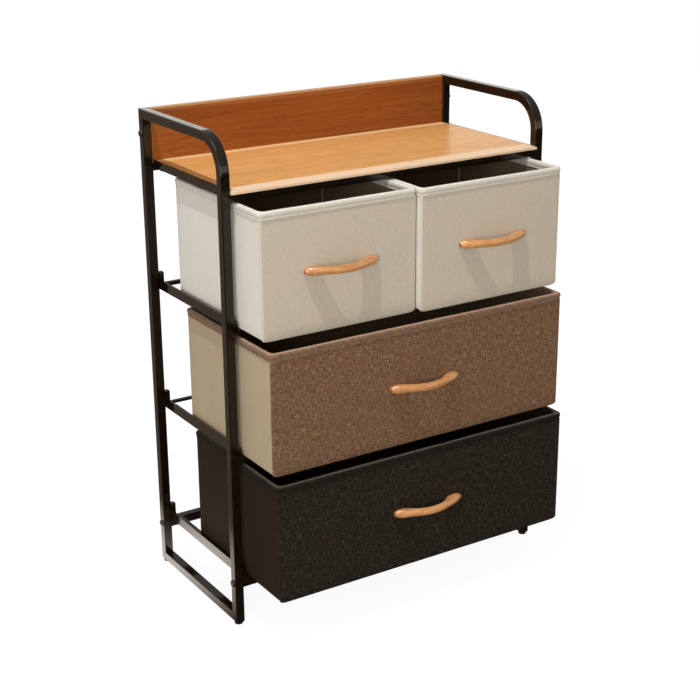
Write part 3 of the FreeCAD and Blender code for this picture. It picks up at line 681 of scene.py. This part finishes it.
def make_stitches(drawer, cloth):
    low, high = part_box(f"{drawer}_drawer_cover")
    top = rim_top(drawer) - STITCH_DROP
    turn = BINDING_RADIUS
    left, right = low.x - STITCH_STAND, high.x + STITCH_STAND
    front, back = low.y - STITCH_STAND, high.y + STITCH_STAND
    runs = [stitch_run((left + turn, front, top), (right - turn, front, top)),
            stitch_run((left + turn, back, top), (right - turn, back, top)),
            stitch_run((left, front + turn, top), (left, back - turn, top)),
            stitch_run((right, front + turn, top), (right, back - turn, top))]
    stitches = joined(f"{drawer}_drawer_binding_stitches", runs)
    dress(stitches, f"{cloth}_thread")
    smooth(stitches)
    return stitches


# Seams: a low welt down each front corner, and pale strips in the back corners inside, painted
# light glowing through the seams there

WELT = 0.6 * MM
WELT_WANDER = 0.15 * MM
LIGHT_STRIP_DEPTH = 2.2 * MM
LIGHT_STRIP_HALF_WIDTH = 0.8 * MM
LIGHT_STRIP_INSET = 1.1 * MM
SEAM_CLOTH = {"oatmeal": "oatmeal_side", "brown": "brown_front", "charcoal": "charcoal_edge"}


def make_corner_seams(drawer, cloth):
    low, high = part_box(f"{drawer}_drawer_cover")
    top = rim_top(drawer) - BINDING_HEIGHT + 1 * MM
    foot = low.z + FRONT_DROP
    crest = CORNER * (1 - math.sqrt(0.5))
    welts = []
    for x in (low.x + crest, high.x - crest):
        welt = start_rod("welt", 8, WELT, top - foot, (x, low.y + crest, (top + foot) / 2))
        open_up(welt)
        slice_at(2, evenly(foot, top, CELL))
        pick("EDGE", lies_at(foot))
        bpy.ops.mesh.bevel(offset=WELT / 2, segments=2)
        close_up()
        welts.append(welt)
    seams = joined(f"{drawer}_drawer_corner_seams", welts)
    for vertex in seams.data.vertices:
        vertex.co.x += noise.noise(vertex.co * 30) * WELT_WANDER
    dress(seams, SEAM_CLOTH[cloth])
    smooth(seams, 50)
    return seams


# Painted light: a pale strip in thread-coloured cloth down each inner back corner stands for light
# glowing through the seam
def make_back_light_strips(drawer, cloth):
    low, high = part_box(f"{drawer}_drawer_cover")
    top = rim_top(drawer) - BINDING_HEIGHT * 0.6
    foot = low.z + FRONT_DROP + 6 * MM
    back = high.y - SIDE_WALL - 0.5 * MM
    inset = SIDE_WALL + LIGHT_STRIP_INSET
    light_strips = []
    for x in (low.x + inset, high.x - inset):
        light_strip = start_box("light_strip", (x - LIGHT_STRIP_HALF_WIDTH, back - LIGHT_STRIP_DEPTH, foot),
                         (x + LIGHT_STRIP_HALF_WIDTH, back, top))
        open_up(light_strip)
        pick("EDGE", upright)
        bpy.ops.mesh.bevel(offset=0.35 * MM, segments=2)
        close_up()
        light_strips.append(light_strip)
    light_strips = joined(f"{drawer}_drawer_inner_light_strips", light_strips)
    dress(light_strips, f"{cloth}_thread")
    smooth(light_strips, 50)
    return light_strips


# Wooden grips: a bow on two broad feet, worked to a soft round all over

GRIP_CELLS = 28              # along the grip
GRIP_ACROSS = 4              # across it, both ways
GRIP_END_CUT = 0.985         # one more cut near each end keeps the end's edge firm
GRIP_FOOT = 28 * MM          # length of each foot on the drawer's front
GRIP_REACH = 17 * MM         # from the front to the inside of the bow
GRIP_END_REACH = 6 * MM      # from the front to the outside, at the two ends
GRIP_END_GRAIN = 1.0 * MM    # how far the end grain shows
GRIP_TALL = 1.1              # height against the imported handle's
FOOT_TALLER = 0.06           # the feet are this much taller than the bow
END_LOWER = 0.48             # the ends are this much lower


def arc_depth(x, half, end, crown):
    """Where an arc through (±half, end) and (0, crown) is at x."""
    rise = end - crown
    radius = (half * half + rise * rise) / (2 * rise)
    return crown + radius - math.sqrt(max(0, radius * radius - x * x))


def ease(value, start, end):
    """Goes smoothly from 0 at the start to 1 at the end."""
    share = min(1, max(0, (value - start) / (end - start)))
    return share * share * (3 - 2 * share)


def make_grip(drawer):
    low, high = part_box(f"{drawer}_drawer_handle")
    middle = (low + high) / 2
    half = (high - low) / 2
    front = high.y
    grip = start_box(f"{drawer}_drawer_grip", (-1, -1, -1), (1, 1, 1))
    open_up(grip)
    slice_at(0, evenly(-1, 1, 2 / GRIP_CELLS) + [-GRIP_END_CUT, GRIP_END_CUT])
    slice_at(1, evenly(-1, 1, 2 / GRIP_ACROSS))
    slice_at(2, evenly(-1, 1, 2 / GRIP_ACROSS))
    close_up()
    foot_start = half.x - GRIP_FOOT
    for vertex in grip.data.vertices:
        along, depth, up = vertex.co
        x = along * half.x
        outer = arc_depth(x, half.x, -GRIP_END_REACH, low.y - front)
        inner = arc_depth(x, foot_start, 0, -GRIP_REACH) if abs(x) < foot_start else 0.0
        on_foot = ease(abs(x), foot_start - 4 * MM, foot_start + 14 * MM)
        soft = 1.0 - (0.75 * on_foot if depth > 0 else 0.0)
        wide = depth * math.sqrt(1 - soft * up * up / 2)
        tall = up * math.sqrt(1 - soft * depth * depth / 2)
        blunt = ease(abs(along), 0.84, 1.0)
        tall *= (1 + FOOT_TALLER * on_foot) * (1 - END_LOWER * blunt * blunt)
        vertex.co = (middle.x + x, front + (outer + inner) / 2 + wide * (inner - outer) / 2,
                     middle.z + tall * half.z * GRIP_TALL)
    finish_with(grip, "SUBSURF", levels=2, render_levels=2)
    dress(grip, "handle_wood", "handle_end")
    for face in grip.data.polygons:
        if abs(face.center.x - middle.x) > half.x - GRIP_END_GRAIN:
            face.material_index = 1
    smooth(grip, 70)
    return grip


# Bolt heads with a hexagon socket

ACROSS = (0, math.pi / 2, 0)     # turns an upright rod to lie along x


def make_bolt_head(name, seat, side, radius, height, socket):
    """A domed head on the outside of a side frame, its crown pointing away from the middle."""
    head = start_rod(name, 28, radius, height, seat + Vector((side * height / 2, 0, 0)), ACROSS)
    crown = seat.x + side * height
    open_up(head)
    pick("EDGE", lambda edge: all(abs(v.co.x - crown) < TINY for v in edge.verts))
    bpy.ops.mesh.bevel(offset=height * 0.8, segments=5)
    close_up()
    hole = start_rod("socket", 6, socket, height * 1.1, (crown, seat.y, seat.z), ACROSS)
    finish_with(head, "BOOLEAN", operation="DIFFERENCE", object=hole)
    bpy.data.objects.remove(hole)
    return head


def make_bolts(name, node, seat_half, radius, height, socket, shank, length, nut=None):
    """Heads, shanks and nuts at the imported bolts. A nut is (start, radius, thickness)."""
    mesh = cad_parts[node].data
    pieces = []
    for side in (-1, 1):
        crowns = [v.co for v in mesh.vertices if v.co.x * side > seat_half + height * 0.85]
        spots = {}
        for crown in crowns:
            spots.setdefault((round(crown.y, 2), round(crown.z, 2)), []).append(crown)
        for number, group in enumerate(spots.values()):
            spot = sum(group, Vector()) / len(group)
            seat = Vector((side * seat_half, spot.y, spot.z))
            inward = Vector((-side, 0, 0))
            pieces.append(make_bolt_head(f"{name}_{side}_{number}", seat, side, radius,
                                         height, socket))
            pieces.append(start_rod("shank", 12, shank, length, seat + inward * length / 2,
                                    ACROSS))
            if nut:
                start, nut_radius, thickness = nut
                pieces.append(start_rod("nut", 6, nut_radius, thickness,
                                        seat + inward * (start + thickness / 2), ACROSS))
    bolts = joined(name, pieces)
    dress(bolts, "bolt_steel")
    smooth(bolts, 35)
    return bolts


# Assembly

for drawer, cloth in DRAWERS.items():
    body = f"{drawer}_drawer"
    shell = make_shell(drawer, cloth)
    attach(shell, body)
    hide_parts(f"{drawer}_drawer_cover")
    binding = make_binding(drawer, cloth)
    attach(binding, body)
    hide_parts(f"{drawer}_drawer_rim")
    for piece in (make_stitches(drawer, cloth), make_corner_seams(drawer, cloth),
                  make_back_light_strips(drawer, cloth)):
        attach(piece, body)
    grip = make_grip(drawer)
    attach(grip, body)
    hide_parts(f"{drawer}_drawer_handle")

frame_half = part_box("right_back_post")[1].x
rail_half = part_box("right_shelf_rail")[1].x
frame_heads = make_bolts("frame_bolt_heads", "frame_bolts", frame_half, radius=5.5 * MM,
                         height=2.8 * MM, socket=2.3 * MM, shank=3 * MM, length=20 * MM)
rail_heads = make_bolts("shelf_rail_bolt_heads", "shelf_rail_bolts", rail_half, radius=3.25 * MM,
                        height=1.8 * MM, socket=1.2 * MM, shank=2 * MM, length=4.8 * MM,
                        nut=(3 * MM, 2.5 * MM, 1.8 * MM))
for bolts, node in ((frame_heads, "frame_bolts"), (rail_heads, "shelf_rail_bolts")):
    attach(bolts, "frame")
    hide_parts(node)


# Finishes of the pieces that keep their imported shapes

def node_finish(name):
    if "foot" in name:
        return "foot_plastic"
    if name == "shelf_board":
        return "shelf_wood"
    if name == "backboard":
        return "backboard_wood"
    if name.endswith(("wall_boards", "front_board", "bottom_board")):
        return "fibreboard"
    if name.endswith("handle_screws"):
        return "screw_steel"
    if name.endswith("bolts"):
        return "bolt_steel"
    return "frame_steel"


for name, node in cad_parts.items():
    dress(node, node_finish(name))


# Studio

WHITE = (1.0, 1.0, 1.0, 1.0)
BLACK = (0.0, 0.0, 0.0, 1.0)
WARM_WHITE = (1.0, 0.95, 0.86, 1.0)
FLOOR_SEEN = (0.19, 0.2, 0.215, 1.0)     # what the camera sees the shadows on
FLOOR_BOUNCE = (0.55, 0.55, 0.55, 1.0)   # what light bounces off
FLOOR_WHITE = 0.92                       # the floor's own glow to the camera
BROWN_IN_GLOSS = (1.0, 0.79, 0.6, 1.0)
CREAM_IN_GLOSS = (1.0, 0.94, 0.84, 1.0)
POOL_PLACE = (-0.66, 0.2, 0.0)           # x counts double, so the pool is narrow
POOL_LEVEL = 2.9
GLOW_WAY = (-0.24, -0.18, 0.954)         # towards the overhead lamp
GLOW_LEVEL = 7.0
SKY_LEVEL = 0.42                         # the world's light on the object


def ray_masks(bench):
    """Rays that see the backdrop straight, and rays that see it in a glossy surface."""
    paths = bench.put("LightPath").outputs
    return (bench.math("MAXIMUM", paths["Is Camera Ray"], paths["Is Transmission Ray"]),
            paths["Is Glossy Ray"])


def make_floor():
    """White to the camera, with a faint shadow. Gloss shows it dim, less so behind, and with a
    pool of light beside the left bottom rail, as the photograph's glossy steel does."""
    clear_selection()
    bpy.ops.mesh.primitive_grid_add(x_subdivisions=8, y_subdivisions=8, size=30)
    floor = settle(bpy.context.object, "studio_floor")
    material, shader, bench, place = new_finish("studio_floor", Roughness=0.9,
                                                Specular_IOR_Level=0.0)
    speck = bench.remap(bench.noise(place, 40.0), 0.3, 0.7, 0.98, 1.0)
    seen, in_gloss = ray_masks(bench)
    back = bench.put("SeparateXYZ", Vector=place).outputs["Y"]
    dim = bench.remap(back, -0.15, 0.5, 0.05, 0.34)
    from_pool = bench.put("VectorMath", {"operation": "DISTANCE"})
    bench.feed(from_pool.inputs[0], bench.stretched(place, 2.0, 1.0, 1.0))
    bench.feed(from_pool.inputs[1], POOL_PLACE)
    pool = bench.remap(from_pool.outputs["Value"], 0.06, 0.27, 1.0, 0.0)
    in_metal = bench.math("MULTIPLY", in_gloss, bench.math("MULTIPLY_ADD", pool, POOL_LEVEL, dim))
    shown = bench.math("ADD", bench.math("MULTIPLY", seen, FLOOR_WHITE), in_metal)
    colour = bench.blend(seen, FLOOR_BOUNCE, FLOOR_SEEN)
    colour = bench.blend(in_gloss, colour, BLACK)
    bench.feed(shader.inputs["Base Color"], bench.blend(1.0, colour, speck, "MULTIPLY"))
    in_metal_colour = bench.blend(pool, BROWN_IN_GLOSS, CREAM_IN_GLOSS)
    bench.feed(shader.inputs["Emission Color"], bench.blend(in_gloss, WHITE, in_metal_colour))
    bench.feed(shader.inputs["Emission Strength"], shown)
    floor.data.materials.append(material)


def make_world():
    """White to the camera. Gloss shows it white near the horizon and dim overhead, apart from a
    soft glow around the overhead lamp."""
    world = bpy.data.worlds.new("studio")
    bpy.context.scene.world = world
    world.use_nodes = True
    bench = Bench(world.node_tree)
    seen, in_gloss = ray_masks(bench)
    way = bench.put("TexCoord").outputs["Generated"]
    horizon = bench.remap(bench.put("SeparateXYZ", Vector=way).outputs["Z"], 0.2, 0.27, 1.4, 0.4)
    towards = bench.put("VectorMath", {"operation": "DOT_PRODUCT"})
    bench.feed(towards.inputs[0], way)
    bench.feed(towards.inputs[1], GLOW_WAY)
    glow = bench.remap(towards.outputs["Value"], 0.92, 0.985, 0.0, GLOW_LEVEL)
    in_metal = bench.math("MULTIPLY", in_gloss, bench.math("ADD", horizon, glow))
    neither = bench.math("SUBTRACT", 1.0, bench.math("MAXIMUM", seen, in_gloss))
    strength = bench.math("ADD", bench.math("ADD", seen, in_metal),
                          bench.math("MULTIPLY", neither, SKY_LEVEL))
    background = world.node_tree.nodes["Background"]
    bench.feed(background.inputs["Color"], bench.blend(seen, WARM_WHITE, WHITE))
    bench.feed(background.inputs["Strength"], strength)


def softbox(name, place, target, size, watts):
    """A square lamp, turned to face the target."""
    light = bpy.data.lights.new(name, "AREA")
    light.shape = "SQUARE"
    light.size = size
    light.energy = watts
    lamp = bpy.data.objects.new(name, light)
    bpy.context.scene.collection.objects.link(lamp)
    lamp.location = place
    lamp.rotation_euler = (Vector(target) - Vector(place)).to_track_quat("-Z", "Y").to_euler()


make_floor()
make_world()
MIDDLE = (0, 0, 0.4)
softbox("overhead", (-0.79, -0.62, 3.2), MIDDLE, size=0.05, watts=47)
softbox("side_fill", (-2.6, -2.3, 0.95), MIDDLE, size=1.4, watts=50)


# Camera at the photograph's place

VIEW_POINT = Vector((-1.2703, -1.9444, 1.2205))
VIEW_WAY = Vector((0.5053, 0.7948, -0.3361))
VIEW_ROLL = math.radians(-0.396)
FOCAL_LENGTH = 76.13         # in mm, on a sensor 36 mm wide
lens = bpy.data.cameras.new("camera")
lens.lens = FOCAL_LENGTH
lens.sensor_width = 36
camera = bpy.data.objects.new("camera", lens)
bpy.context.scene.collection.objects.link(camera)
camera.location = VIEW_POINT
turn = VIEW_WAY.to_track_quat("-Z", "Y") @ Quaternion((0, 0, 1), VIEW_ROLL)
camera.rotation_euler = turn.to_euler()
bpy.context.scene.camera = camera
bpy.context.scene.view_settings.view_transform = "Standard"
